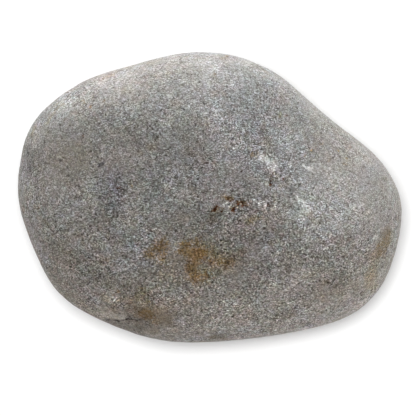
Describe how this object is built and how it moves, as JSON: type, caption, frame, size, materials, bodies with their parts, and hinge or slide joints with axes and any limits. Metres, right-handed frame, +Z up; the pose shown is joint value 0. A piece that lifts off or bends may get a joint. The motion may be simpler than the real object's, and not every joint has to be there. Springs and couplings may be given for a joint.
{
  "type": "river pebble",
  "caption": "Flattish water-worn grey sandstone pebble with a sloping shoulder, a chipped edge and a small flat to rest on.",
  "frame": {"origin": "middle of the footprint box, on the surface that the pebble rests on", "axes": "+X along the stone's length towards its low broad end, +Y towards the side with the sloping shoulder, +Z up"},
  "size_m": [0.08, 0.0604, 0.033],
  "materials": {
    "stone": "dry matt water-worn sandstone, speckled grey with ochre iron stains, brown iron specks and pale scuffs"
  },
  "bodies": {
    "root": {"pebble": "stone"}
  },
  "joints": []
}
